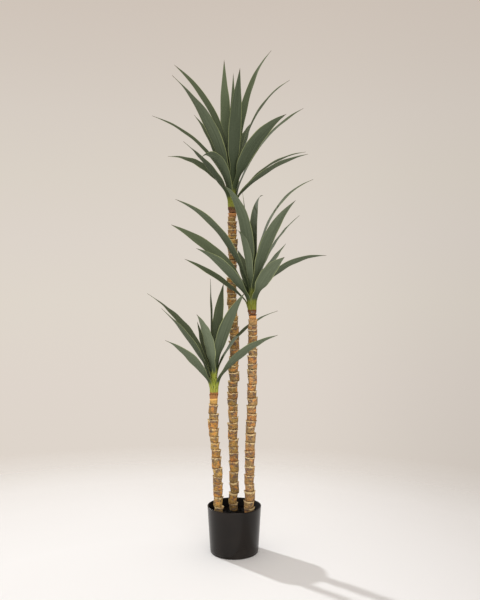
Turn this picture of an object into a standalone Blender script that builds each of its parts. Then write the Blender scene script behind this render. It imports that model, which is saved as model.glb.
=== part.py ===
"""Potted yucca: three ringed canes of stepped height in a round nursery pot,
each cane topped by a green crown that carries a rosette of arching, channelled leaves.

Metres, +Z up. The origin is the centre of the pot's flat underside, and -Y is the front.
"""

import math
import random

import bmesh
import bpy
from mathutils import Matrix, Vector

# The pot, a thin tapered tub on a slightly smaller foot.
POT_HEIGHT = 0.140
POT_RIM_RADIUS = 0.0815
POT_FOOT_RADIUS = 0.0737
POT_WALL = 0.0022
POT_FLOOR = 0.003
POT_CORNER = 0.004
POT_RIM_BEAD = 0.0008
POT_FOOT_STEP = 0.0012
POT_FOOT_HEIGHT = 0.007
POT_FOOT_EDGE = 0.003
POT_SIDES = 40

# Touching pieces keep this much air, and buried cane ends reach this deep.
GAP = 0.0003
SOIL_TOP = POT_HEIGHT - 0.024
SOIL_DOME = 0.002
SOIL_DOME_EDGE = 0.012
SOIL_CORNER = 0.006
BURIED_DEPTH = 0.060
BURIED_EDGE = 0.002

# Canes: stacked rings, each widest at its upper lip, along the way points of a centre line.
# Rings are tall at the soil and shorter the higher they stand. The girth lists heights and the
# radii there; each ring is a little stouter or slimmer than that.
CANE_SIDES = 12
LOW_RING_HEIGHT = 0.0275
HIGH_RING_HEIGHT = 0.0135
RING_LIP = 0.0014
LIP_DEPTH = 0.0014
RING_HEIGHT_SPREAD = (0.72, 1.32)
LIP_SPREAD = (0.55, 1.25)
NECK_SPREAD = (0.5, 1.0)
RING_GIRTH_SPREAD = (0.95, 1.05)
RING_DRIFT = 0.0014
RING_TILT = 8
CANES = {
    "tall": {
        "line": [
            (-0.003, 0.030, SOIL_TOP),
            (-0.002, 0.030, 0.30),
            (-0.005, 0.031, 0.45),
            (-0.001, 0.031, 0.64),
            (-0.008, 0.030, 0.80),
            (-0.005, 0.030, 0.94),
            (-0.007, 0.030, 1.047),
        ],
        "girth": [
            (SOIL_TOP, 0.0136),
            (0.26, 0.0139),
            (0.37, 0.0154),
            (0.62, 0.0152),
            (0.90, 0.0140),
            (1.00, 0.0133),
            (1.047, 0.0116),
        ],
        "seed": 4,
    },
    "middle": {
        "line": [
            (0.045, -0.020, SOIL_TOP),
            (0.047, -0.020, 0.22),
            (0.046, -0.020, 0.30),
            (0.053, -0.019, 0.44),
            (0.055, -0.019, 0.58),
            (0.054, -0.020, 0.731),
        ],
        "girth": [
            (SOIL_TOP, 0.0150),
            (0.24, 0.0149),
            (0.50, 0.0144),
            (0.60, 0.0138),
            (0.70, 0.0132),
            (0.731, 0.0117),
        ],
        "seed": 7,
    },
    "short": {
        "line": [
            (-0.0445, -0.020, SOIL_TOP),
            (-0.0485, -0.021, 0.20),
            (-0.0515, -0.021, 0.265),
            (-0.0555, -0.021, 0.32),
            (-0.0615, -0.020, 0.375),
            (-0.0625, -0.020, 0.42),
            (-0.061, -0.020, 0.482),
        ],
        "girth": [
            (SOIL_TOP, 0.0136),
            (0.20, 0.0133),
            (0.27, 0.0141),
            (0.345, 0.0134),
            (0.395, 0.0147),
            (0.44, 0.0135),
            (0.482, 0.0116),
        ],
        "seed": 12,
    },
}

# Crowns: the green core that the leaves of one cane grow from.
# It widens like a vase of sheaths and then closes (height above the cane, radius).
CROWN_PROFILE = [
    (0.000, 0.0114),
    (0.014, 0.0120),
    (0.030, 0.0128),
    (0.052, 0.0082),
    (0.085, 0.0045),
]
CROWN_DOME = 0.004
CROWN_STEPS = 12
CROWN_SIDES = 16
LOWEST_LEAF = 0.008
HIGHEST_LEAF = 0.078

# Leaves: a blade is a folded strip with this outline (share of length, share of width).
BLADE_THICKNESS = 0.0012
BLADE_ROWS = 10
BLADE_OUTLINE = [
    (0.00, 0.29),
    (0.08, 0.38),
    (0.20, 0.70),
    (0.35, 0.94),
    (0.50, 1.00),
    (0.66, 0.86),
    (0.82, 0.54),
    (0.93, 0.22),
    (1.00, 0.03),
]
FOLD_AT_BASE = 0.24
FOLD_AT_TIP = 0.06
SHEATH_SHARE = 0.18
STEEPEST = 88
STEPS_PER_ROW = 8

# For each leaf: bearing (degrees from +X towards +Y), rise at the base and at the tip, length,
# greatest width, roll about its midrib at half length and at the tip, and how late it bends.
LEAVES = {
    "tall": [
        (175, 87, 40, 0.43, 0.036, -33, -55, 1.12),
        (-144, 76, 31, 0.392, 0.043, 20, -22, 1.28),
        (126, 79, 90, 0.42, 0.038, -12, -12, 0.9),
        (-72, 84, 69, 0.355, 0.041, 0, 0, 1.5),
        (78, 89, 87, 0.35, 0.020, 0, 0, 1.5),
        (25, 84, 47, 0.47, 0.027, 35, 20, 2.4),
        (10, 79, 31, 0.403, 0.030, -14, -14, 1.9),
        (65, 75.9, 37, 0.303, 0.036, 0, 0, 1.4),
        (-35, 75, 16, 0.303, 0.042, -40, -45, 1.22),
        (15, 70.7, 29.5, 0.385, 0.030, 5, 35, 1.25),
        (8, 53.6, 8, 0.29, 0.027, -10, -10, 1.45),
        (-19, 48.2, 6.5, 0.28, 0.026, -16, -20, 1.2),
        (171, 74.2, 20, 0.372, 0.031, -20, -30, 0.89),
        (-138, 54, 26, 0.243, 0.035, -5, -25, 1.0),
        (158, 62, 2, 0.28, 0.037, -28, -28, 1.2),
        (-121, 73, -52, 0.232, 0.030, 20, 40, 1.6),
        (134, 71, 42, 0.345, 0.034, 0, 0, 1.4),
        (88, 46, 0, 0.28, 0.036, 0, 0, 1.3),
    ],
    "middle": [
        (-133, 86, 20, 0.34, 0.040, 15, 25, 2.6),
        (-108, 76, 0, 0.237, 0.024, 0, -20, 2.0),
        (154, 87.4, 81, 0.293, 0.014, 0, 0, 1.5),
        (66, 89.7, -1, 0.322, 0.036, -20, -40, 4.3),
        (11, 85, 20, 0.412, 0.036, 0, 22, 1.7),
        (-46, 75, 29, 0.322, 0.038, -27, -20, 1.5),
        (13, 74.2, 38.5, 0.288, 0.020, 10, 14, 1.35),
        (36, 61, 43, 0.212, 0.033, 0, 0, 1.2),
        (-56, 57, 18, 0.203, 0.040, -38, -40, 1.2),
        (-12, 60, -3, 0.268, 0.034, -24, -24, 1.15),
        (-167, 71, 18, 0.38, 0.037, 22, 32, 1.6),
        (166, 60, 24, 0.35, 0.039, -50, -60, 0.95),
        (-142, 54, 13, 0.262, 0.036, 25, 25, 1.6),
        (178, 45, 24, 0.25, 0.033, -28, -40, 1.2),
        (104, 55, 31, 0.25, 0.034, 0, 0, 1.2),
        (78, 46, 8, 0.25, 0.036, 0, 0, 1.3),
    ],
    "short": [
        (173, 70.5, 31.5, 0.335, 0.034, -30, 0, 1.08),
        (-170, 69, 42, 0.27, 0.034, 27, 12, 1.0),
        (-148, 57, 21, 0.22, 0.036, 28, 10, 1.6),
        (125, 67, 62, 0.205, 0.030, 15, 15, 1.0),
        (-119, 81.9, 33, 0.212, 0.036, 0, 0, 1.7),
        (176, 89, 89, 0.27, 0.026, -8, -8, 1.0),
        (75, 83, 54, 0.286, 0.034, 0, 0, 1.2),
        (-46, 82.2, 42, 0.277, 0.038, -26, -26, 1.0),
        (14, 72, 15, 0.292, 0.027, 8, 8, 1.1),
        (-25, 59, 15, 0.262, 0.036, -28, -28, 1.05),
        (105, 50, 5, 0.23, 0.034, 0, 0, 1.3),
    ],
}

COLOURS = {
    "pot_black": ((0.030, 0.027, 0.026), 0.45),
    "soil_dark": ((0.012, 0.010, 0.008), 0.95),
    "cane_bark": ((0.340, 0.190, 0.070), 0.85),
    "crown_green": ((0.260, 0.330, 0.050), 0.60),
    "leaf_green": ((0.085, 0.125, 0.075), 0.50),
}


def clear_scene():
    for old in list(bpy.data.objects):
        bpy.data.objects.remove(old)


def new_collection(name):
    made = bpy.data.collections.new(name)
    bpy.context.scene.collection.children.link(made)
    return made


def material(name):
    made = bpy.data.materials.get(name)
    if made is None:
        colour, roughness = COLOURS[name]
        made = bpy.data.materials.new(name)
        made.use_nodes = True
        shader = made.node_tree.nodes["Principled BSDF"]
        shader.inputs["Base Color"].default_value = (*colour, 1)
        shader.inputs["Roughness"].default_value = roughness
        shader.inputs["Metallic"].default_value = 0
    return made


def add_object(name, mesh, collection, finish=None):
    made = bpy.data.objects.new(name, mesh)
    collection.objects.link(made)
    if finish:
        mesh.materials.append(material(finish))
    return made


def mesh_from(bm, name):
    mesh = bpy.data.meshes.new(name)
    bm.to_mesh(mesh)
    bm.free()
    return mesh


def blend(pairs, at):
    """Smooth reading of a list of (place, value) at a place."""
    for (a, low), (b, high) in zip(pairs, pairs[1:]):
        if at <= b:
            share = (at - a) / (b - a)
            share = share * share * (3 - 2 * share)
            return low + (high - low) * share
    return pairs[-1][1]


def turned(name, profile, sides, collection, finish):
    """A profile of (radius, height) points, outer side downwards, turned about Z."""
    mesh = bpy.data.meshes.new(name)
    edges = [(i, i + 1) for i in range(len(profile) - 1)]
    mesh.from_pydata([(r, 0, z) for r, z in profile], edges, [])
    made = add_object(name, mesh, collection, finish)
    screw = made.modifiers.new("turn", "SCREW")
    screw.axis = "Z"
    screw.steps = screw.render_steps = sides
    screw.use_merge_vertices = True
    screw.merge_threshold = 0.00002
    return made


def arc(centre, radius, start, end, steps):
    """Points of a fillet in the profile plane, angles in degrees."""
    angles = [math.radians(start + (end - start) * i / steps) for i in range(steps + 1)]
    return [(centre[0] + radius * math.cos(a), centre[1] + radius * math.sin(a)) for a in angles]


def pot_inner_radius(height):
    share = height / POT_HEIGHT
    return POT_FOOT_RADIUS + (POT_RIM_RADIUS - POT_FOOT_RADIUS) * share - POT_WALL


def make_pot(parts):
    """The profile runs up the inside, over the rim bead and down the outside to the foot."""
    inside = [(0, POT_FLOOR), (pot_inner_radius(POT_FLOOR) - POT_CORNER, POT_FLOOR)]
    inside += [(pot_inner_radius(z), z) for z in (POT_FLOOR + POT_CORNER, POT_HEIGHT - POT_CORNER)]
    rim_centre = (POT_RIM_RADIUS - POT_WALL / 2, POT_HEIGHT - POT_WALL / 2)
    rim = arc(rim_centre, POT_WALL / 2 + POT_RIM_BEAD / 2, 180, 0, 4)
    foot_radius = POT_FOOT_RADIUS - POT_FOOT_STEP
    outside = [
        (POT_RIM_RADIUS, POT_HEIGHT - POT_CORNER),
        (POT_FOOT_RADIUS, POT_FOOT_HEIGHT + POT_FOOT_STEP),
        (foot_radius, POT_FOOT_HEIGHT),
        (foot_radius, POT_FOOT_EDGE),
        (foot_radius - POT_FOOT_EDGE, 0),
        (0, 0),
    ]
    return turned("pot", inside + rim + outside, POT_SIDES, parts, "pot_black")


def make_soil(parts, cutters):
    floor = POT_FLOOR + GAP
    low_radius = pot_inner_radius(floor + SOIL_CORNER) - GAP
    high_radius = pot_inner_radius(SOIL_TOP) - GAP
    profile = [
        (0, SOIL_TOP),
        (high_radius - SOIL_DOME_EDGE, SOIL_TOP),
        (high_radius, SOIL_TOP - SOIL_DOME),
        (low_radius, floor + SOIL_CORNER),
        (low_radius - SOIL_CORNER, floor),
        (0, floor),
    ]
    soil = turned("potting_soil", profile, POT_SIDES, parts, "soil_dark")
    for name, cane in CANES.items():
        cut = soil.modifiers.new(f"socket_{name}", "BOOLEAN")
        cut.operation = "DIFFERENCE"
        cut.object = make_socket(name, cane, cutters)
    return soil


def make_socket(name, cane, cutters):
    """The hole that a cane's plain buried end stands in, run out above the soil."""
    x, y, _ = cane["line"][0]
    floor = SOIL_TOP - BURIED_DEPTH - GAP
    depth = SOIL_TOP + SOIL_DOME - floor
    radius = plug_radius(cane) + GAP
    bm = bmesh.new()
    bmesh.ops.create_cone(
        bm,
        cap_ends=True,
        segments=CANE_SIDES,
        radius1=radius,
        radius2=radius,
        depth=depth,
        matrix=Matrix.Translation((x, y, floor + depth / 2)),
    )
    cutter = add_object(f"socket_{name}", mesh_from(bm, f"socket_{name}"), cutters)
    cutter.hide_render = True
    cutter.display_type = "WIRE"
    return cutter


def along_line(points, height):
    """Place at a height on the smooth curve through the way points, which rise all the way."""
    last = len(points) - 2
    i = next((k for k in range(last) if height <= points[k + 1][2]), last)
    before, low, high, after = (Vector(points[min(max(k, 0), last + 1)]) for k in range(i - 1, i + 3))
    span = high.z - low.z
    t = (height - low.z) / span
    leave = (high - before) / (high.z - before.z) * span
    arrive = (after - low) / (after.z - low.z) * span
    place = low * (2 * t**3 - 3 * t**2 + 1) + leave * (t**3 - 2 * t**2 + t)
    place += high * (3 * t**2 - 2 * t**3) + arrive * (t**3 - t**2)
    return Vector((place.x, place.y, height))


def plug_radius(cane):
    """Radius of the plain end of a cane that is buried in the soil."""
    return cane["girth"][0][1] - RING_LIP


def cane_loops(cane):
    """The loops of a cane from its buried end up: (centre, radius, tilt direction, tilt)."""
    dice = random.Random(cane["seed"])
    line = cane["line"]
    foot, top = Vector(line[0]), Vector(line[-1])
    highest = max(other["line"][-1][2] for other in CANES.values())
    plug = plug_radius(cane)
    loops = [
        (foot - Vector((0, 0, BURIED_DEPTH)), plug - BURIED_EDGE / 2, 0, 0),
        (foot - Vector((0, 0, BURIED_DEPTH - BURIED_EDGE)), plug, 0, 0),
        (foot + Vector((0, 0, GAP)), plug, 0, 0),
    ]
    height = foot.z + GAP
    while height < top.z:
        share = (height - foot.z) / (highest - foot.z)
        tall = LOW_RING_HEIGHT + (HIGH_RING_HEIGHT - LOW_RING_HEIGHT) * share
        tall *= dice.uniform(*RING_HEIGHT_SPREAD)
        is_last = height + tall > top.z - HIGH_RING_HEIGHT / 2
        if is_last:
            tall = top.z - height
        height += tall
        radius = blend(cane["girth"], height - LIP_DEPTH)
        radius *= 1 if is_last else dice.uniform(*RING_GIRTH_SPREAD)
        drift = Vector((dice.uniform(-1, 1), dice.uniform(-1, 1), 0)) * RING_DRIFT
        lip = radius + RING_LIP * dice.uniform(*LIP_SPREAD)
        neck = radius - RING_LIP * dice.uniform(*NECK_SPREAD)
        turn = dice.uniform(0, 2 * math.pi)
        tilt = 0 if is_last else math.radians(dice.uniform(0, RING_TILT))
        loops.append((along_line(line, height - LIP_DEPTH) + drift, lip, turn, tilt))
        loops.append((along_line(line, height) + drift, neck, turn, tilt))
    return loops


def grid_cells(bm, columns, rows):
    """A plane grid, and for each of its points the column and row it stands in."""
    made = bmesh.ops.create_grid(bm, x_segments=columns, y_segments=rows, size=1)
    share = [((v.co.x + 1) / 2, (v.co.y + 1) / 2) for v in made["verts"]]
    return [(v, round(x * columns), round(y * rows)) for v, (x, y) in zip(made["verts"], share)]


def make_cane(name, cane, parts):
    """A grid rolled into a tube, its rows set out as the loops of the rings."""
    bm = bmesh.new()
    loops = cane_loops(cane)
    for vert, column, row in grid_cells(bm, CANE_SIDES, len(loops) - 1):
        centre, radius, turn, tilt = loops[row]
        angle = 2 * math.pi * (column % CANE_SIDES) / CANE_SIDES
        lean = Matrix.Rotation(tilt, 3, Vector((math.cos(turn), math.sin(turn), 0)))
        vert.co = centre + lean @ Vector((math.cos(angle), math.sin(angle), 0)) * radius
    bmesh.ops.remove_doubles(bm, verts=bm.verts[:], dist=0.000001)
    bmesh.ops.holes_fill(bm, edges=bm.edges[:])
    bmesh.ops.recalc_face_normals(bm, faces=bm.faces[:])
    return add_object(f"cane_{name}", mesh_from(bm, f"cane_{name}"), parts, "cane_bark")


def crown_radius(height):
    return blend(CROWN_PROFILE, height)


def crown_foot(cane):
    return Vector(cane["line"][-1]) + Vector((0, 0, GAP))


def make_crown(name, cane, parts):
    tip = CROWN_PROFILE[-1][0]
    heights = [tip * (1 - i / CROWN_STEPS) for i in range(CROWN_STEPS + 1)]
    profile = [(0, tip + CROWN_DOME), (crown_radius(tip) * 0.7, tip + CROWN_DOME / 2)]
    profile += [(crown_radius(height), height) for height in heights]
    profile.append((0, 0))
    crown = turned(f"crown_{name}", profile, CROWN_SIDES, parts, "crown_green")
    crown.location = crown_foot(cane)
    return crown


def leaf_rise(rise, tip_rise, lateness, share):
    """Elevation along a leaf: steep in the sheath, then easing from its rise to its tip's."""
    angle = rise + (tip_rise - rise) * share**lateness
    if share < SHEATH_SHARE:
        angle += (STEEPEST - rise) * (1 - share / SHEATH_SHARE) ** 2
    return math.radians(angle)


def leaf_rows(leaf, foot, height):
    """Rows of a blade from base to tip: (midrib point, side, upper face, half width, fold)."""
    bearing, rise, tip_rise, length, width, roll, tip_roll, lateness = leaf
    heading = math.radians(bearing)
    outward = Vector((math.cos(heading), math.sin(heading), 0))
    place = foot + Vector((0, 0, height)) + outward * (crown_radius(height) + BLADE_THICKNESS)
    rows = []
    steps = BLADE_ROWS * STEPS_PER_ROW
    for step in range(steps + 1):
        share = step / steps
        angle = leaf_rise(rise, tip_rise, lateness, share)
        along = outward * math.cos(angle) + Vector((0, 0, math.sin(angle)))
        if step % STEPS_PER_ROW == 0:
            lean = blend([(0, 0), (0.5, roll), (1, tip_roll)], share)
            spin = Matrix.Rotation(math.radians(lean), 3, along)
            side = spin @ Vector((-outward.y, outward.x, 0))
            half = width / 2 * blend(BLADE_OUTLINE, share)
            fold = FOLD_AT_BASE + (FOLD_AT_TIP - FOLD_AT_BASE) * share
            rows.append((place.copy(), side, along.cross(side), half, fold * half))
        place += along * (length / steps)
    return rows


def make_leaf(name, leaf, foot, height, parts):
    bm = bmesh.new()
    rows = leaf_rows(leaf, foot, height)
    for vert, column, row in grid_cells(bm, 2, BLADE_ROWS):
        centre, side, upper, half, fold = rows[row]
        across = column - 1
        vert.co = centre + side * half * across + upper * fold * abs(across)
    bmesh.ops.recalc_face_normals(bm, faces=bm.faces[:])
    blade = add_object(name, mesh_from(bm, name), parts, "leaf_green")
    wall = blade.modifiers.new("thickness", "SOLIDIFY")
    wall.thickness = BLADE_THICKNESS
    wall.offset = 0
    return blade


def make_rosette(name, cane, leaves, parts):
    """Flatter leaves sit low on the crown and steeper ones above them."""
    foot = crown_foot(cane)
    order = sorted(range(len(leaves)), key=lambda i: leaves[i][1])
    step = (HIGHEST_LEAF - LOWEST_LEAF) / (len(leaves) - 1)
    for rank, i in enumerate(order):
        make_leaf(f"leaf_{name}_{i + 1:02d}", leaves[i], foot, LOWEST_LEAF + step * rank, parts)


def main():
    clear_scene()
    parts = new_collection("potted_yucca")
    cutters = new_collection("cutters")
    make_pot(parts)
    make_soil(parts, cutters)
    for name, cane in CANES.items():
        make_cane(name, cane, parts)
        make_crown(name, cane, parts)
        make_rosette(name, cane, LEAVES[name], parts)


main()
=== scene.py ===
import math
import random

import bmesh
import bpy
from mathutils import Matrix, Vector, noise


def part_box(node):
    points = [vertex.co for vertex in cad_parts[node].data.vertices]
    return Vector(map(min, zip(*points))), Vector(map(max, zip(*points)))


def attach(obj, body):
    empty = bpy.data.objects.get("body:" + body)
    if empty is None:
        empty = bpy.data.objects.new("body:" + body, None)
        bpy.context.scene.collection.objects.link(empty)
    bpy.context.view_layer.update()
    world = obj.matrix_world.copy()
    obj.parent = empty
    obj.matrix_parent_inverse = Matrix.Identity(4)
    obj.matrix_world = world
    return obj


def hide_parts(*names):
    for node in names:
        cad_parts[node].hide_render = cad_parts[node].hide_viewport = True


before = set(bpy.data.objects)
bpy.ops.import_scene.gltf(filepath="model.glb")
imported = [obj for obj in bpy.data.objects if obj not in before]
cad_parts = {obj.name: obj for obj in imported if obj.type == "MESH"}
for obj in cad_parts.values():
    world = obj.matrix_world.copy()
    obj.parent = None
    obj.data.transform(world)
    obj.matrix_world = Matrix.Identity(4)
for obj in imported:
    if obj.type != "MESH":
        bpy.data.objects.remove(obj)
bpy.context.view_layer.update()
print("frame loaded,", len(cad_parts), "nodes")

hair = 0.0001  # metres, the margin when places are compared
weld = 0.00002  # points of a CAD node that are nearer than this are one
speck = 1e-7  # a vector shorter than this has no direction
digits = 5  # of a height that tell one row from the next


def pick(piece):  # select one object alone and make it active
    bpy.ops.object.select_all(action="DESELECT")
    piece.select_set(True)
    bpy.context.view_layer.objects.active = piece


def named(name):  # name the object that an operator has just made
    piece = bpy.context.object
    piece.name = piece.data.name = name
    return piece


def copyOf(piece, name):
    twin = piece.copy()
    twin.data = piece.data.copy()
    twin.name = twin.data.name = name
    bpy.context.collection.objects.link(twin)
    return twin


def joined(pieces, name):
    pick(pieces[0])
    for piece in pieces:
        piece.select_set(True)
    bpy.ops.object.join()
    return named(name)


def enterEdit(piece):
    pick(piece)
    bpy.ops.object.mode_set(mode="EDIT")
    bpy.ops.mesh.select_all(action="SELECT")


def faceOut(piece):
    enterEdit(piece)
    bpy.ops.mesh.normals_make_consistent(inside=False)
    bpy.ops.object.mode_set(mode="OBJECT")


def raisedForm(name, sides, outline):  # a disc pulled up through (height, radius) points
    foot, radius = outline[0]
    bpy.ops.mesh.primitive_circle_add(
        vertices=sides, radius=radius, fill_type="NGON", location=(0, 0, 0)
    )
    form = named(name)
    enterEdit(form)
    for (low, lowRadius), (high, highRadius) in zip(outline, outline[1:]):
        bpy.ops.mesh.extrude_region_move(TRANSFORM_OT_translate={"value": (0, 0, high - low)})
        grow = highRadius / lowRadius
        bpy.ops.transform.resize(value=(grow, grow, 1), center_override=(0, 0, high - foot))
    bpy.ops.object.mode_set(mode="OBJECT")
    form.data.transform(Matrix.Translation((0, 0, foot)))
    faceOut(form)
    return form


def storeValues(piece, name, values):
    piece.data.attributes.new(name, "FLOAT", "POINT").data.foreach_set("value", values)


def dress(piece, finish, node, smooth):
    piece.data.materials.clear()
    piece.data.materials.append(finish.block)
    pick(piece)
    bpy.ops.object.shade_smooth_by_angle(angle=math.radians(smooth))
    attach(piece, "root")
    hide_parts(node)


def smoothRead(stops, values, at):  # a smooth curve through values at uneven stops
    last = len(stops) - 2
    i = next((k for k in range(last) if at <= stops[k + 1]), last)
    span = stops[i + 1] - stops[i]
    t = (at - stops[i]) / span

    def slope(k):
        a, b = max(k - 1, 0), min(k + 1, last + 1)
        return (values[b] - values[a]) * (span / (stops[b] - stops[a]))

    place = values[i] * (2 * t**3 - 3 * t**2 + 1) + values[i + 1] * (3 * t**2 - 2 * t**3)
    return place + slope(i) * (t**3 - 2 * t**2 + t) + slope(i + 1) * (t**3 - t**2)


def middle(points):
    return sum(points, Vector()) / len(points)


def loopsOf(node, count, fromTip=False):  # a CAD node's loops of points, walked edge by edge
    bm = bmesh.new()
    bm.from_mesh(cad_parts[node].data)
    bmesh.ops.remove_doubles(bm, verts=bm.verts[:], dist=weld)
    verts = bm.verts[:]
    if fromTip:  # the tip is where the points crowd most
        seed = min(verts, key=lambda v: sorted((v.co - w.co).length for w in verts)[count - 1])
        level = sorted(verts, key=lambda w: (w.co - seed.co).length)[:count]
    else:
        level = sorted(verts, key=lambda w: w.co.z)[:count]
    seen, loops = set(level), []
    while level:
        loops.append([v.co.copy() for v in level])
        level = list({e.other_vert(v) for v in level for e in v.link_edges} - seen)
        seen.update(level)
    bm.free()
    return loops


class Val:  # a shader socket that can stand in a sum
    def __init__(self, finish, socket):
        self.finish, self.socket = finish, socket

    def sum(self, operation, first, second):
        return self.finish.add("Math", {"operation": operation}, {0: first, 1: second})

    def __add__(self, other):
        return self.sum("ADD", self, other)

    def __sub__(self, other):
        return self.sum("SUBTRACT", self, other)

    def __rsub__(self, other):
        return self.sum("SUBTRACT", other, self)

    def __mul__(self, other):
        return self.sum("MULTIPLY", self, other)

    __radd__, __rmul__ = __add__, __mul__


class Finish:  # a material, or the world, in the making
    def __init__(self, block):
        block.use_nodes = True
        self.block, self.tree = block, block.node_tree
        self.shader = self.tree.nodes.get("Principled BSDF")

    def add(self, kind, settings, sockets, out=0):
        node = self.tree.nodes.new("ShaderNode" + kind)
        for key, value in settings.items():
            if key == "stops":
                for i, (place, colour) in enumerate(value):
                    stops = node.color_ramp.elements
                    stop = stops[i] if i < len(stops) else stops.new(place)
                    stop.position, stop.color = place, (*colour, 1)
            else:
                setattr(node, key, value)
        for key, value in sockets.items():
            self.plug(node.inputs[key], value)
        return Val(self, node.outputs[out])

    def plug(self, socket, value):
        if isinstance(value, Val):
            self.tree.links.new(value.socket, socket)
        else:
            socket.default_value = (*value, 1) if socket.type == "RGBA" else value

    def give(self, **values):
        for key, value in values.items():
            self.plug(self.shader.inputs[key.replace("_", " ")], value)

    def read(self, attribute):
        return self.add("Attribute", {"attribute_name": attribute}, {}, "Fac")

    def place(self):
        return self.add("TexCoord", {}, {}, "Object")

    def part(self, vector, axis):  # the x, y or z of a vector
        return self.add("SeparateXYZ", {}, {0: vector}, "xyz".index(axis))

    def stretch(self, vector, by):
        return self.add("VectorMath", {"operation": "MULTIPLY"}, {0: vector, 1: by})

    def noise(self, vector, scale, detail=2, rough=0.5):
        sockets = {"Vector": vector, "Scale": scale, "Detail": detail, "Roughness": rough}
        return self.add("TexNoise", {}, sockets)

    def step(self, value, low, high):  # 0 at low and 1 at high, whichever is the greater
        sockets = {0: value, 1: low, 2: high}
        return self.add("MapRange", {"interpolation_type": "SMOOTHSTEP"}, sockets)

    def mix(self, share, first, second):
        return self.add("Mix", {"data_type": "RGBA"}, {0: share, 6: first, 7: second}, 2)

    def ramp(self, value, stops):
        return self.add("ValToRGB", {"stops": stops}, {0: value})

    def bump(self, height, strength, distance):
        sockets = {"Height": height, "Strength": strength, "Distance": distance}
        return self.add("Bump", {}, sockets)


def newFinish(name, **plain):
    f = Finish(bpy.data.materials.new(name))
    f.give(**plain)
    return f


def times(colour, by):  # a lighter or darker colour
    return [min(1, part * by) for part in colour]


potShape = {
    "sides": 96,
    "wall": 0.0022,
    "bead": 0.0004,  # how far the rim stands proud of the wall
    "beadHeight": 0.006,
    "rimSteps": 6,
    "footRound": 0.003,
    "footSteps": 4,
    "footHeight": 0.007,
    "footStep": 0.0012,  # from the foot out to the wall above it
    "stepRound": 0.0006,
    "stepCurve": [(-1, 0), (0, 1 / 12), (1, 5 / 6), (4, 1)],  # height in rounds, share of the step
    "wallRows": 9,
    "insideDepth": 0.030,  # the wall's inner side goes down behind the soil
    "insideRing": 0.6,  # a ring in the hidden floor there, as a share of its radius
    "smooth": 50,
}


def arc(height, radius, size, start, end, steps):  # (height, radius) points round an edge
    turns = [math.radians(start + (end - start) * i / steps) for i in range(steps + 1)]
    return [(height + size * math.sin(a), radius + size * math.cos(a)) for a in turns]


def potOutline(top, rim, foot):  # up the outside, over the rim and down behind the soil
    wall, edge, depth = potShape["wall"], potShape["footRound"], potShape["insideDepth"]
    outline = arc(edge, foot - edge, edge, -90, 0, potShape["footSteps"])
    for rounds, share in potShape["stepCurve"]:
        height = potShape["footHeight"] + rounds * potShape["stepRound"]
        outline.append((height, foot + share * potShape["footStep"]))
    low, high = outline[-1], (top - potShape["beadHeight"], rim - potShape["bead"])
    for i in range(1, potShape["wallRows"] + 1):
        share = i / potShape["wallRows"]
        outline.append(tuple(a + (b - a) * share for a, b in zip(low, high)))
    outline += arc(top - wall / 2, rim - wall / 2, wall / 2, 0, 180, potShape["rimSteps"])
    deep = rim - wall - depth * (rim - low[1]) / top
    return outline + [(top - depth, deep), (top - depth, deep * potShape["insideRing"])]


def makePot():
    _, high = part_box("pot")
    top, rim = high.z, high.x
    underside = [v.co.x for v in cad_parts["pot"].data.vertices if v.co.z < hair]
    outline = potOutline(top, rim, max(underside) + potShape["footRound"])
    pot = raisedForm("nursery_pot", potShape["sides"], outline)
    edge, deepest = rim - potShape["wall"] + hair, top - potShape["insideDepth"] - hair
    # marks the inner wall, which the finish paints dark as shade
    inside = [float(v.co.z > deepest and v.co.xy.length < edge) for v in pot.data.vertices]
    storeValues(pot, "inside", inside)
    dress(pot, makePotFinish(), "pot", potShape["smooth"])
    print("pot made")


potColours = {
    "dark": (0.0052, 0.0033, 0.0022),
    "pale": (0.0100, 0.0068, 0.0048),
    "dust": (0.045, 0.038, 0.033),
    # painted shade on the pot's inner wall
    "inside": (0.0018, 0.0014, 0.0012),
}


def makePotFinish():
    f = newFinish("potPlastic", IOR=1.36)
    place, inside = f.place(), f.read("inside")
    cloud = f.noise(place, scale=14, detail=3, rough=0.6)
    grain = f.noise(place, scale=900)
    drawn = f.noise(f.stretch(place, (60, 60, 4)), scale=6, detail=3, rough=0.6)
    dust = f.step(f.part(place, "z"), 0.035, 0.0) * f.step(cloud, 0.35, 0.7)
    tone = f.mix(f.step(cloud, 0.3, 0.75), potColours["dark"], potColours["pale"])
    tone = f.mix(dust * 0.3, tone, potColours["dust"])
    # painted shade: the inner wall is darkened, and made rougher
    tone = f.mix(inside, tone, potColours["inside"])
    f.give(Base_Color=tone, Roughness=0.20 + cloud * 0.10 + dust * 0.15 + inside * 0.5)
    f.give(Normal=f.bump(grain * 0.3 + drawn * 0.7, strength=0.12, distance=0.0006))
    return f


soilShape = {
    "sides": 96,
    "rings": 22,
    "gap": 0.0002,  # its edge lies this far inside its CAD solid's
    "depth": 0.012,
    "sink": 0.002,  # its plain top, before the lumps, lies this far below the CAD solid's
    "lift": 0.001,
    "lump": 0.00154,
    "lumpScale": (90, 260),
    "fineShare": 0.6,
    "edge": 0.006,  # the lumps die out over this width
    "smooth": 30,
}

chipShape = {  # bark chips: width and height are shares of the length
    "count": 150,
    "length": (0.003, 0.011),
    "width": (0.3, 0.7),
    "height": (0.15, 0.35),
    "bevel": 0.22,
    "tilt": 0.5,
    "lift": 0.0004,
    "spread": 0.96,  # share of the soil's radius
    "seed": 21,
}


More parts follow.
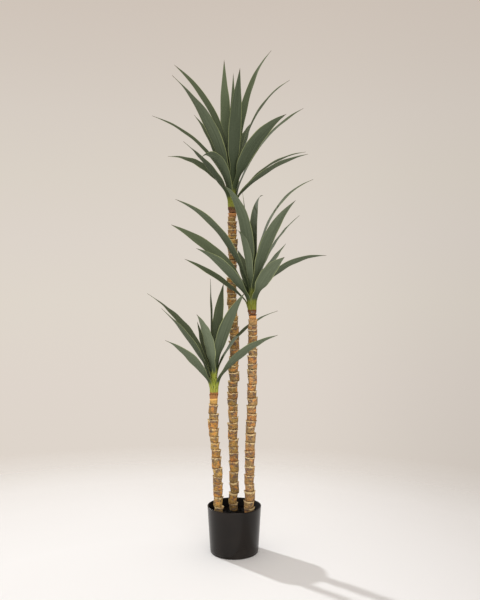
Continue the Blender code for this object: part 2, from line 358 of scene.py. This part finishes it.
def makeChips(radius, top):
    dice = random.Random(chipShape["seed"])
    bpy.ops.mesh.primitive_cube_add(size=1, location=(0, 0, 0))
    chip = named("chip")
    enterEdit(chip)
    bpy.ops.mesh.bevel(offset=chipShape["bevel"], segments=1, affect="EDGES")
    bpy.ops.object.mode_set(mode="OBJECT")
    chips = []
    for i in range(chipShape["count"]):
        away = radius * chipShape["spread"] * math.sqrt(dice.random())
        angle = dice.uniform(0, math.tau)
        length = dice.uniform(*chipShape["length"])
        width = length * dice.uniform(*chipShape["width"])
        height = length * dice.uniform(*chipShape["height"])
        heading = Matrix.Rotation(dice.uniform(0, math.tau), 4, "Z")
        tilt = Matrix.Rotation(dice.uniform(-chipShape["tilt"], chipShape["tilt"]), 4, "X")
        centre = (away * math.cos(angle), away * math.sin(angle), top + chipShape["lift"])
        size = Matrix.Diagonal((length, width, height, 1))
        one = copyOf(chip, f"chip_{i}")
        one.data.transform(Matrix.Translation(centre) @ heading @ tilt @ size)
        chips.append(one)
    bpy.data.objects.remove(chip)
    return chips


def makeSoil():
    _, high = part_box("potting_soil")
    radius = high.x - soilShape["gap"]
    plainTop, bottom = high.z - soilShape["sink"], high.z - soilShape["depth"]
    bpy.ops.mesh.primitive_circle_add(
        vertices=soilShape["sides"], radius=radius, fill_type="NGON", location=(0, 0, 0)
    )
    soil = named("potting_mix")
    enterEdit(soil)
    bpy.ops.mesh.extrude_region_move(TRANSFORM_OT_translate={"value": (0, 0, plainTop - bottom)})
    for _ in range(soilShape["rings"]):
        bpy.ops.mesh.inset(thickness=radius / (soilShape["rings"] + 1), depth=0)
    bpy.ops.mesh.poke()
    bpy.ops.object.mode_set(mode="OBJECT")
    soil.data.transform(Matrix.Translation((0, 0, bottom)))
    coarse, fine = soilShape["lumpScale"]
    for v in soil.data.vertices:
        if v.co.z > plainTop - hair:
            edge = min(1, (radius - v.co.xy.length) / soilShape["edge"])
            lump = noise.noise(v.co * coarse) + soilShape["fineShare"] * noise.noise(v.co * fine)
            v.co.z += edge * (soilShape["lift"] + soilShape["lump"] * lump)
    soil = joined([soil, *makeChips(radius, high.z)], "potting_mix")
    faceOut(soil)
    dress(soil, makeSoilFinish(), "potting_soil", soilShape["smooth"])
    print("soil made")


soilColours = {
    "dark": (0.0018, 0.0014, 0.0011),
    "pale": (0.0065, 0.0048, 0.0036),
    "speck": (0.025, 0.018, 0.012),
}


def makeSoilFinish():
    f = newFinish("pottingMix", Roughness=0.95, Specular_IOR_Level=0.1)
    place = f.place()
    cloud = f.noise(place, scale=160, detail=4, rough=0.7)
    specks = f.noise(place, scale=420)
    tone = f.mix(f.step(cloud, 0.35, 0.7), soilColours["dark"], soilColours["pale"])
    tone = f.mix(f.step(specks, 0.66, 0.74) * 0.6, tone, soilColours["speck"])
    f.give(Base_Color=tone)
    f.give(Normal=f.bump(cloud + specks * 0.5, strength=0.7, distance=0.0015))
    return f


caneShape = {
    "cadPoints": 12,  # in each loop of a CAD cane
    "sides": 44,
    "cup": [  # one ring: height share, radius share
        (-0.10, 0.84),
        (0.00, 0.87),
        (0.06, 0.905),
        (0.20, 0.935),
        (0.45, 0.945),
        (0.68, 0.965),
        (0.82, 0.99),
        (0.90, 1.01),
        (0.95, 1.04),
        (0.985, 1.045),
        (1.00, 1.015),
        (0.985, 0.96),
        (0.955, 0.88),
        (0.95, 0.60),
    ],
    "core": 0.62,  # inside this radius a ring is hidden by the next one and stays plain
    "bark": 0.0011,
    "barkScale": (1.6, 0.8),  # of the noise, round the ring and up it
    "fineBark": 0.0005,
    "fineScale": (5.5, 2.5),
    "tornScale": (3.4, 0),
    "lipShare": 0.80,  # above this share of a ring its ragged lip starts
    "lipRise": 0.0028,
    "lipReach": 0.0015,
    "lipOut": 0.15,  # share of lipReach by which the whole lip stands out
    "seed": 5,
    "smooth": 55,
}


def makeCup():  # one ring of a cane, one unit tall and one unit wide
    return raisedForm("ring", caneShape["sides"], caneShape["cup"])


def barkNoise(way, height, scale, shift):
    around, upward = scale
    return noise.noise(way * around + Vector(shift) + Vector((0, 0, height * upward)))


def roughen(ring, number, tint, wide, tall):  # bark relief, and a ragged lip on the upper edge
    start, own = caneShape["lipShare"], tint * 10  # each ring reads the noise elsewhere
    for v in ring.data.vertices:
        flat = Vector((v.co.x, v.co.y, 0))
        if flat.length < caneShape["core"]:
            continue
        way = flat.normalized()
        lip = min(1, max(0, (v.co.z - start) / (1 - start)))
        broad = barkNoise(way, v.co.z, caneShape["barkScale"], (own, number * 3.1, 0))
        fine = barkNoise(way, v.co.z, caneShape["fineScale"], (0, own * 9, number))
        torn = barkNoise(way, v.co.z, caneShape["tornScale"], (own * 5, 0, number))
        reach = caneShape["bark"] * broad + caneShape["fineBark"] * fine
        reach += lip * caneShape["lipReach"] * (caneShape["lipOut"] + torn)
        v.co.x += way.x * reach / wide
        v.co.y += way.y * reach / wide
        v.co.z += lip * caneShape["lipRise"] * (torn + fine / 2) / tall


def upwardOf(lip):  # the direction that a ring's lip faces, from its plane
    centre = middle(lip)
    first = lip[0] - centre
    across = max(lip, key=lambda p: (p - centre).cross(first).length) - centre
    up = first.cross(across).normalized()
    return up if up.z > 0 else -up


def makeCane(cane, cup, finish):
    loops = loopsOf(f"cane_{cane}", caneShape["cadPoints"])
    top = middle(loops[-1]).z
    widest = max(radius for _, radius in caneShape["cup"])
    dice = random.Random(caneShape["seed"] + len(loops))
    shares = [v.co.z for v in cup.data.vertices]
    rings = []
    # above the buried end each ring is a loop at its foot and a wider one at its lip
    for number, (foot, lip) in enumerate(zip(loops[2::2], loops[3::2])):
        centre = middle(lip)
        wide = sum((p - centre).length for p in lip) / len(lip) / widest
        tall = centre.z - middle(foot).z
        tint = dice.random()
        ring = copyOf(cup, f"{cane}_{number}")
        roughen(ring, number, tint, wide, tall)
        lean = Vector((0, 0, 1)).rotation_difference(upwardOf(lip)).to_matrix().to_4x4()
        size = Matrix.Diagonal((wide, wide, tall, 1))
        down = Matrix.Translation((0, 0, -1))
        ring.data.transform(Matrix.Translation(centre) @ lean @ size @ down)
        storeValues(ring, "ringPart", shares)
        storeValues(ring, "ringTint", [tint] * len(shares))
        storeValues(ring, "below", [(top - v.co.z) * 100 for v in ring.data.vertices])
        rings.append(ring)
    count = len(rings)
    trunk = joined(rings, f"trunk_{cane}")
    dress(trunk, finish, f"cane_{cane}", caneShape["smooth"])
    print("cane", cane, "made of", count, "rings")


barkColours = {  # ring colours of each cane, which a ring's tint picks from
    "tall": [
        (0.37, 0.182, 0.040),
        (0.20, 0.130, 0.036),
        (0.28, 0.115, 0.030),
        (0.40, 0.240, 0.062),
        (0.18, 0.120, 0.040),
        (0.33, 0.152, 0.032),
    ],
    "middle": [
        (0.43, 0.225, 0.082),
        (0.31, 0.155, 0.050),
        (0.48, 0.295, 0.115),
        (0.27, 0.155, 0.070),
        (0.41, 0.180, 0.048),
        (0.38, 0.240, 0.100),
    ],
    "short": [
        (0.45, 0.245, 0.052),
        (0.33, 0.165, 0.038),
        (0.52, 0.325, 0.090),
        (0.27, 0.170, 0.055),
        (0.43, 0.205, 0.042),
        (0.27, 0.160, 0.054),
    ],
}

barkMarks = {  # patches and spots that every cane has, with painted shade in each ring's groove and a partly painted highlight on its lip
    "olive": (0.21, 0.145, 0.052),
    "orange": (0.62, 0.26, 0.052),
    "straw": (0.76, 0.53, 0.22),
    "grey": (0.120, 0.084, 0.076),
    "brown": (0.070, 0.036, 0.024),
    # painted shade in the groove at each ring's foot
    "crease": (0.08, 0.042, 0.026),
    # the lip's cream: partly its own pale colour, partly a painted highlight
    "lip": (0.78, 0.60, 0.31),
}

neckColours = {  # the red-brown neck below each crown, and the bright ring below that
    "tall": ((0.13, 0.062, 0.030), (0.42, 0.190, 0.065)),
    "middle": ((0.14, 0.050, 0.018), (0.55, 0.270, 0.085)),
    "short": ((0.31, 0.130, 0.045), (0.64, 0.370, 0.100)),
}


def makeBarkFinish(cane):
    f = newFinish(f"bark_{cane}", Specular_IOR_Level=0.3)
    part, tint = f.read("ringPart"), f.read("ringTint")
    place = f.place()
    patch = f.noise(place, scale=55, detail=3, rough=0.6)
    other = f.noise(f.stretch(place, (1, 1, 1.6)), scale=95, detail=3, rough=0.6)
    spot = f.noise(f.stretch(place, (1, 1, 2.2)), scale=210, detail=3, rough=0.65)
    fibre = f.noise(f.stretch(place, (1, 1, 0.25)), scale=700)
    below = f.read("below") + other * 0.5 - 0.25  # centimetres below the crown, made uneven
    colours, (neck, bright) = barkColours[cane], neckColours[cane]
    tone = f.ramp(tint, [(i / (len(colours) - 1), colour) for i, colour in enumerate(colours)])
    tone = f.mix(f.step(patch, 0.50, 0.58) * 0.6, tone, barkMarks["olive"])
    tone = f.mix(f.step(patch, 0.45, 0.37) * 0.7, tone, barkMarks["orange"])
    tone = f.mix(f.step(spot, 0.45, 0.34) * 0.55, tone, barkMarks["straw"])
    tone = f.mix(f.step(other + part * 0.12, 0.56, 0.64) * 0.8, tone, barkMarks["grey"])
    tone = f.mix(f.step(spot + part * 0.06, 0.60, 0.68) * 0.6, tone, barkMarks["brown"])
    # painted shade: darker at the foot of each ring, in the groove above the lip below it
    tone = f.mix(f.step(part, 0.10, 0.0) * 0.5, tone, barkMarks["crease"])
    # the lip's cream, partly its own colour and partly a painted highlight along the top of each
    # ring
    lip = f.step(part - other * 0.55 + spot * 0.12, 0.56, 0.70)
    lip = lip * (f.step(patch, 0.38, 0.56) * 0.6 + 0.25)
    tone = f.mix(lip, tone, barkMarks["lip"])
    tone = f.mix(f.step(below, 3.4, 2.2) * 0.6, tone, bright)
    tone = f.mix(f.step(below, 1.9, 1.6) * 0.7, tone, times(bright, 1.5))
    tone = f.mix(f.step(below, 1.45, 1.15) * 0.9, tone, neck)
    f.give(Base_Color=tone, Roughness=0.75 + patch * 0.2)
    f.give(Normal=f.bump(spot * 0.6 + fibre * 0.4, strength=0.6, distance=0.0012))
    return f


crownShape = {
    "sides": 48,
    "inset": 0.0007,  # it lies this far inside its CAD solid, under the sheaths
    "flutes": 13,
    "fluteDepth": 0.0007,
    "twist": 6,
    "core": 0.003,  # inside this radius the flutes die out
    "pole": 0.001,  # a row narrower than this is a pole, and is left out
    "tone": 0.3,
    "reach": (-0.5, 0.1),  # at its foot and at its top, as on a leaf
    "riseShare": 0.5,  # its lime runs twice as high as the sheaths'
    "smooth": 60,
}


def crownOutline(cane):  # the heights and radii of a crown, and its axis
    name = f"crown_{cane}"
    low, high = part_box(name)
    axis = Vector(((low.x + high.x) / 2, (low.y + high.y) / 2, 0))
    rows = {}
    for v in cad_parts[name].data.vertices:
        height = round(v.co.z, digits)
        rows[height] = max((v.co.xy - axis.xy).length, rows.get(height, 0))
    rows = sorted(row for row in rows.items() if row[1] > crownShape["pole"])
    return [height for height, _ in rows], [radius for _, radius in rows], axis


def makeCrown(cane, finish):
    heights, radii, axis = crownOutline(cane)
    foot, top = heights[0], heights[-1]
    outline = [(height, radius - crownShape["inset"]) for height, radius in zip(heights, radii)]
    crown = raisedForm(f"crown_heart_{cane}", crownShape["sides"], outline)
    for v in crown.data.vertices:
        angle = math.atan2(v.co.y, v.co.x) + (v.co.z - foot) * crownShape["twist"]
        flute = math.sin(angle * crownShape["flutes"]) * crownShape["fluteDepth"]
        v.co.xy *= 1 + flute / max(v.co.xy.length, crownShape["core"])
    crown.data.transform(Matrix.Translation(axis))
    low, high = crownShape["reach"]
    above = [v.co.z - foot for v in crown.data.vertices]
    storeValues(crown, "reach", [low + (high - low) * up / (top - foot) for up in above])
    storeValues(crown, "across", [0.0] * len(above))
    storeValues(crown, "tone", [crownShape["tone"]] * len(above))
    storeValues(crown, "under", [1.0] * len(above))
    storeValues(crown, "rise", [up * 10 * crownShape["riseShare"] for up in above])
    dress(crown, finish, f"crown_{cane}", crownShape["smooth"])
    print("crown made on the", cane, "cane")


bladeShape = {
    "cadPoints": 6,  # in each loop of a CAD leaf
    "columns": 12,
    "rows": 76,
    "leastRow": 0.0005,  # rows are read as at least this far apart
    "thickness": 0.0010,
    "edgeThickness": 0.35,  # share of the thickness left at the edge
    "channel": 1.7,  # how sharply the channel bends at the midrib
    "clasp": [(1.8, 0.50), (1.38, 0.36), (1.1, 0.25)],  # first rows' growth in width, cupping
    "widestClasp": 0.0107,  # half its width is never more
    "waves": (3, 6),  # how many there are along a blade
    "wave": 0.0007,
    "waveLag": 1.3,  # radians by which one edge's wave is ahead of the other's
    "waveEnds": (6, 5),  # it grows over the first sixth and dies out over the last fifth
    "edgePower": 3,  # keeps the wave and the thinning near the edges
    "tones": (0.25, 0.55),  # of the leaves that have no painted-light tone in the list below
    "seed": 3,
    "smooth": 50,
}

sheathShape = {  # the clasping part below a blade
    "rows": 5,
    "halfAngle": 52,  # degrees that it reaches round the crown each way
    "drop": 0.001,  # it starts this far below the crown's foot
    "footGap": 0.0003,
    "topGap": 0.0010,
    "layer": 0.00011,  # each older leaf's sheath lies this much further out
    "topSine": 0.9,  # the greatest sine of its half angle, where the blade starts
}

paintedLeafLight = {  # painted light: listed leaves are darker where they look shaded and paler where they look lit, about 0 for dark and 1 for pale; the others are drawn by chance
    "tall_01": 0.3,
    "tall_02": 0.3,
    "tall_03": 1.0,
    "tall_04": -0.1,
    "tall_09": 0.05,
    "tall_14": 0.0,
    "tall_16": 0.35,
    "middle_01": 0.4,
    "middle_02": 0.55,
    "middle_04": 0.1,
    "middle_06": 0.35,
    "middle_09": 0.6,
    "middle_13": 0.35,
    "short_04": 0.0,
    "short_05": 0.85,
    "short_07": 0.25,
    "short_08": 0.3,
}


def makeFlatBlade():
    bpy.ops.mesh.primitive_grid_add(
        x_subdivisions=bladeShape["columns"],
        y_subdivisions=bladeShape["rows"],
        size=2,
        location=(0, 0, 0),
    )
    blade = named("flat_blade")
    core = blade.vertex_groups.new(name="core")
    for v in blade.data.vertices:
        core.add([v.index], 1 - abs(v.co.x) ** bladeShape["edgePower"], "REPLACE")
    return blade


def bladeRows(node):  # left edge, midrib and right edge of each row, from base to tip
    loops = loopsOf(node, bladeShape["cadPoints"], fromTip=True)[::-1]
    rows, side = [], None
    for loop in loops[:-1]:
        centre = middle(loop)
        far = max(loop, key=lambda p: (p - centre).length) - centre
        if side is None:
            side = far
        side = far if far.dot(side) > 0 else -far
        order = sorted(loop, key=lambda p: p.dot(side))
        rows.append([middle(order[i : i + 2]) for i in (0, 2, 4)])
    rows.append([middle(loops[-1])] * 3)
    for row, (grow, cup) in zip(rows, bladeShape["clasp"]):
        left, rib, right = row
        half = (right - left) / 2
        half *= min(grow, bladeShape["widestClasp"] / half.length)
        up = ((left + right) / 2 - rib).normalized() * half.length * cup
        row[:] = [rib - half + up, rib, rib + half + up]
    return rows


def sheathRows(firstRow, layer, crown):  # rows round the crown, up to a blade's first row
    left, base, right = firstRow
    heights, radii, axis = crown
    out = (base - axis).xy
    heading = math.atan2(out.y, out.x)
    baseHalf = math.asin(min(sheathShape["topSine"], (right - left).length / 2 / out.length))
    footHalf = math.radians(sheathShape["halfAngle"])
    foot = heights[0] - sheathShape["drop"]
    footGap, topGap = sheathShape["footGap"] + layer, sheathShape["topGap"]
    rows = []
    for i in range(sheathShape["rows"]):
        share = i / sheathShape["rows"]
        z = foot + (base.z - foot) * share
        radius = smoothRead(heights, radii, min(max(z, heights[0]), heights[-1]))
        radius += footGap * (1 - share) + topGap * share
        half = footHalf + (baseHalf - footHalf) * share
        turns = (heading - half, heading, heading + half)
        rows.append([axis + Vector((radius * math.cos(a), radius * math.sin(a), z)) for a in turns])
    return rows


def layBlade(blade, rows, sheath, dice, foot):  # bend the flat blade along its rows
    if (rows[0][2] - rows[0][0]).dot(sheath[-1][2] - sheath[-1][0]) < 0:
        rows = [row[::-1] for row in rows]  # left is then left on both
    line = sheath + rows
    stops = [0.0]
    for a, b in zip(line, line[1:]):
        stops.append(stops[-1] + max((b[1] - a[1]).length, bladeShape["leastRow"]))
    base, tip = stops[len(sheath)], stops[-1]
    phase, waves = dice.uniform(0, math.tau), dice.uniform(*bladeShape["waves"])
    grow, fade = bladeShape["waveEnds"]
    sections, reach, across = {}, [], []
    for v in blade.data.vertices:
        side, along = v.co.x, round(v.co.y, digits)
        if along not in sections:
            at = (v.co.y + 1) / 2 * tip
            left, rib, right = (smoothRead(stops, [row[k] for row in line], at) for k in range(3))
            share = (at - base) / (tip - base if at > base else base)  # -1 to 0 on the sheath
            sections[along] = left, rib, right, share
        left, rib, right, share = sections[along]
        fold = (left + right) / 2 - rib
        v.co = rib + (right - left) / 2 * side + fold * abs(side) ** bladeShape["channel"]
        if share > 0:
            lag = bladeShape["waveLag"] if side > 0 else 0
            wave = bladeShape["wave"] * math.sin(phase + share * waves * math.tau + lag)
            wave *= abs(side) ** bladeShape["edgePower"] * min(1, share * grow, (1 - share) * fade)
            v.co += wave * (fold.normalized() if fold.length > speck else Vector((0, 0, 1)))
        reach.append(share)
        across.append(side)
    storeValues(blade, "reach", reach)
    storeValues(blade, "across", across)
    storeValues(blade, "rise", [(v.co.z - foot) * 10 for v in blade.data.vertices])


def thicken(blade):
    count = len(blade.data.vertices)
    pick(blade)
    bpy.ops.object.modifier_add(type="SOLIDIFY")
    wall = blade.modifiers[-1]
    wall.thickness, wall.offset = bladeShape["thickness"], 0
    wall.vertex_group, wall.thickness_vertex_group = "core", bladeShape["edgeThickness"]
    bpy.ops.object.modifier_apply(modifier=wall.name)
    blade.vertex_groups.clear()
    storeValues(blade, "under", [1.0] * count + [0.0] * (len(blade.data.vertices) - count))
    faceOut(blade)


def makeBlades(cane, flat, finish):
    dice = random.Random(bladeShape["seed"] + len(cane))
    crown = crownOutline(cane)
    nodes = sorted(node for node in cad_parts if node.startswith(f"leaf_{cane}"))
    laid = {node: bladeRows(node) for node in nodes}
    youngestFirst = sorted(nodes, key=lambda node: -laid[node][0][1].z)
    for node in nodes:
        rows = laid[node]
        layer = youngestFirst.index(node) * sheathShape["layer"]
        blade = copyOf(flat, node.replace("leaf", "blade"))
        layBlade(blade, rows, sheathRows(rows[0], layer, crown), dice, crown[0][0])
        # painted light on the listed leaves; the others get a tone drawn by chance
        tone = paintedLeafLight.get(node.replace("leaf_", ""), dice.uniform(*bladeShape["tones"]))
        storeValues(blade, "tone", [tone] * len(blade.data.vertices))
        thicken(blade)
        dress(blade, finish, node, bladeShape["smooth"])
    print(len(nodes), "blades on the", cane, "cane")


limeShades = {"tall": 0.42, "middle": 0.40, "short": 0.65}  # how light the crown's sheaths are

leafColours = {
    "upper": ((0.048, 0.062, 0.033), (0.112, 0.141, 0.080)),  # on dark and on pale leaves
    "under": ((0.052, 0.068, 0.041), (0.165, 0.199, 0.132)),
    "fibre": (0.17, 0.20, 0.12),
    # painted shade at each blade's base, in the crown's heart
    "base": (0.028, 0.042, 0.013),
    "lime": [(0.12, 0.16, 0.015), (0.36, 0.42, 0.05), (0.64, 0.66, 0.16)],
    "bright": (0.70, 0.68, 0.11),  # low on the crown
    # the margin's pale colour, partly its own and partly painted light caught along the edge
    "edge": (0.46, 0.51, 0.22),
    "seam": (0.06, 0.075, 0.012),  # painted shade along a sheath's edge, where it lies on the next one
    "tip": (0.085, 0.052, 0.030),
}


def makeLeafFinish(cane):
    f = newFinish(f"leaf_{cane}", IOR=1.45, Specular_IOR_Level=0.14)
    reach, across, tone = f.read("reach"), f.read("across"), f.read("tone")
    rise = f.read("rise")  # tenths of a metre above the crown's foot
    side = f.add("Math", {"operation": "ABSOLUTE"}, {0: across})
    spot = f.add("CombineXYZ", {}, {0: across * 4.0, 1: reach * 1.6, 2: tone * 40})
    fibres = f.noise(f.stretch(spot, (7, 1, 1)), scale=4.5)
    streaks = f.noise(f.stretch(spot, (0.35, 0.3, 1)), scale=4.5)
    cloud = f.noise(spot, scale=1.3, detail=3, rough=0.6)
    pale = tone + cloud * 0.9 + reach * 0.5 - 0.68  # paler to the tip
    upper, under = (f.mix(pale, *leafColours[face]) for face in ("upper", "under"))
    green = f.mix(f.read("under"), upper, under)
    green = f.mix(f.step(fibres, 0.35, 0.75) * 0.3, green, leafColours["fibre"])
    # painted shade: darker toward each blade's base, where it sits in the crown's heart
    green = f.mix(f.step(reach, 0.36, 0.07) * 0.65, green, leafColours["base"])
    shade = limeShades[cane]
    limes = [times(colour, shade) for colour in leafColours["lime"]]
    lime = f.ramp(streaks, [(0.34 + i * 0.16, colour) for i, colour in enumerate(limes)])
    low = f.step(rise + streaks * 0.3, 0.45, 0.1) * 0.6
    lime = f.mix(low, lime, times(leafColours["bright"], shade))
    lime = f.mix(f.step(rise + streaks * 0.05, 0.10, 0.065), lime, neckColours[cane][0])
    young = f.step(reach + fibres * 0.03, 0.085, 0.02)
    young = young + (1 - young) * f.step(rise + streaks * 0.2, 0.52, 0.36)
    green = f.mix(young, green, lime)
    # pale edge lines: partly the margin's own colour, partly painted light caught along the edge
    edge = f.step(side, 0.87, 0.97) * (0.15 + f.step(streaks, 0.4, 0.6) * 0.45)
    green = f.mix(edge, green, leafColours["edge"])
    # painted shade where each sheath's edge lies on the next one
    seam = f.step(side, 0.84, 0.95) * f.step(reach, 0.03, -0.03)
    green = f.mix(seam * 0.75, green, leafColours["seam"])
    tip = f.step(reach + fibres * 0.02, 0.955, 1.0)
    green = f.mix(tip * 0.85, green, leafColours["tip"])
    f.give(Base_Color=green, Roughness=0.62 + cloud * 0.12)
    f.give(Normal=f.bump(fibres, strength=0.25, distance=0.0006))
    return f


floorShape = {
    "sides": 64,
    "radius": 2.6,
    "paper": [(0.1, (0.862, 0.868, 0.884)), (0.8, (0.742, 0.740, 0.752))],  # painted light falloff, brighter on the left than on the right
    "fadeCentre": (-0.2, -0.5, 0),
    "fade": [  # half the distance from there, and how much of the floor shows
        (0.30, 1),
        (0.395, 0.93),
        (0.512, 0.82),
        (0.655, 0.64),
        (0.835, 0.23),
        (1.0, 0),
    ],
}


def makeFloor():
    bpy.ops.mesh.primitive_circle_add(
        vertices=floorShape["sides"],
        radius=floorShape["radius"],
        fill_type="NGON",
        location=(0, 0, 0),
    )
    floor = named("studio_floor")
    f = newFinish("floorPaper", Roughness=0.9, Specular_IOR_Level=0.1)
    place = f.place()
    # painted light: the floor is paler on the left, where more light falls
    f.give(Base_Color=f.ramp(f.part(place, "x"), floorShape["paper"]))
    centre = floorShape["fadeCentre"]
    away = f.add("VectorMath", {"operation": "DISTANCE"}, {0: place, 1: centre}, "Value")
    fade = f.ramp(away * 0.5, [(half, [share] * 3) for half, share in floorShape["fade"]])
    clear = f.add("BsdfTransparent", {}, {})
    shown = f.add("MixShader", {}, {0: fade, 1: clear, 2: Val(f, f.shader.outputs[0])})
    f.plug(f.tree.nodes["Material Output"].inputs[0], shown)
    floor.data.materials.append(f.block)


studioWall = {
    "light": (0.705, 0.652, 0.600),  # what it gives the scene
    "colours": [  # as it is seen, from low to high
        (0.0, (0.72, 0.66, 0.59)),
        (0.33, (0.735, 0.665, 0.60)),
        (0.45, (0.735, 0.672, 0.597)),
        (0.54, (0.72, 0.655, 0.59)),
        (0.625, (0.70, 0.638, 0.565)),
        (0.71, (0.675, 0.61, 0.545)),
        (0.785, (0.645, 0.575, 0.51)),
        (0.86, (0.62, 0.545, 0.48)),
    ],
    "lowest": -0.45,  # height of the view's direction at the first of them
    "black": (0, 0, 0),
}


def makeWorld():
    world = bpy.data.worlds.new("studio")
    bpy.context.scene.world = world
    f = Finish(world)
    view = f.add("TexCoord", {}, {}, "Generated")  # in a world this is the view's direction
    x, y, z = (f.part(view, axis) for axis in "xyz")
    seenBy = ("Is Camera Ray", "Is Glossy Ray", "Is Transmission Ray")
    camera, glossy, through = (f.add("LightPath", {}, {}, ray) for ray in seenBy)
    wall = f.ramp(z - studioWall["lowest"], studioWall["colours"])
    shade = f.step(x, 0.02, 0.40) * (0.13 - z * 0.18)  # darker to the right
    wall = f.mix(shade, wall, studioWall["black"])
    card = f.step(x * 0.77 - y * 0.64, 0.40, 0.88)  # a black card right of the front,
    wall = f.mix(card * glossy * 0.97, wall, studioWall["black"])  # seen only in reflections
    light = f.add("Background", {}, {0: studioWall["light"], 1: 1.0})
    seen = f.add("Background", {}, {0: wall, 1: 1.0})
    shown = f.add("MixShader", {}, {0: camera + glossy + through, 1: light, 2: seen})
    f.plug(f.tree.nodes["World Output"].inputs[0], shown)


lamps = {
    "key_light": {  # behind and to the left, 30 degrees up
        "toward": (-0.735, 0.685, 0.575),
        "energy": 2.2,
        "colour": (0.97, 0.975, 0.97),
        "degrees": 2.4,
        "shine": 1.0,
    },
    "fill_light": {  # broad and low, from the front
        "toward": (0.15, -0.95, 0.20),
        "energy": 1.4,
        "colour": (1.0, 0.965, 0.93),
        "degrees": 50,
        "shine": 0.3,
    },
}


def makeLamp(name, settings):
    bpy.ops.object.light_add(type="SUN", location=settings["toward"])
    lamp = named(name)
    lamp.data.energy = settings["energy"]
    lamp.data.color = settings["colour"]
    lamp.data.angle = math.radians(settings["degrees"])
    lamp.data.specular_factor = settings["shine"]
    lamp.rotation_euler = Vector(settings["toward"]).to_track_quat("Z", "Y").to_euler()


cameraSettings = {"place": (0.0174, -2.06, 0.766), "lens": 40.5, "sensor": 36}


def makeCamera():
    level = (math.radians(90), 0, 0)
    bpy.ops.object.camera_add(location=cameraSettings["place"], rotation=level)
    camera = named("camera")
    camera.data.lens = cameraSettings["lens"]
    camera.data.sensor_width = cameraSettings["sensor"]
    bpy.context.scene.camera = camera


makeCamera()
makeWorld()
for lampName, lampSettings in lamps.items():
    makeLamp(lampName, lampSettings)
makeFloor()
bpy.context.scene.view_settings.view_transform = "Standard"
print("studio ready")

makePot()
makeSoil()
ringCup = makeCup()
flatBlade = makeFlatBlade()
for caneName in ("tall", "middle", "short"):
    makeCane(caneName, ringCup, makeBarkFinish(caneName))
    leafGreen = makeLeafFinish(caneName)
    makeCrown(caneName, leafGreen)
    makeBlades(caneName, flatBlade, leafGreen)
bpy.data.objects.remove(ringCup)
bpy.data.objects.remove(flatBlade)
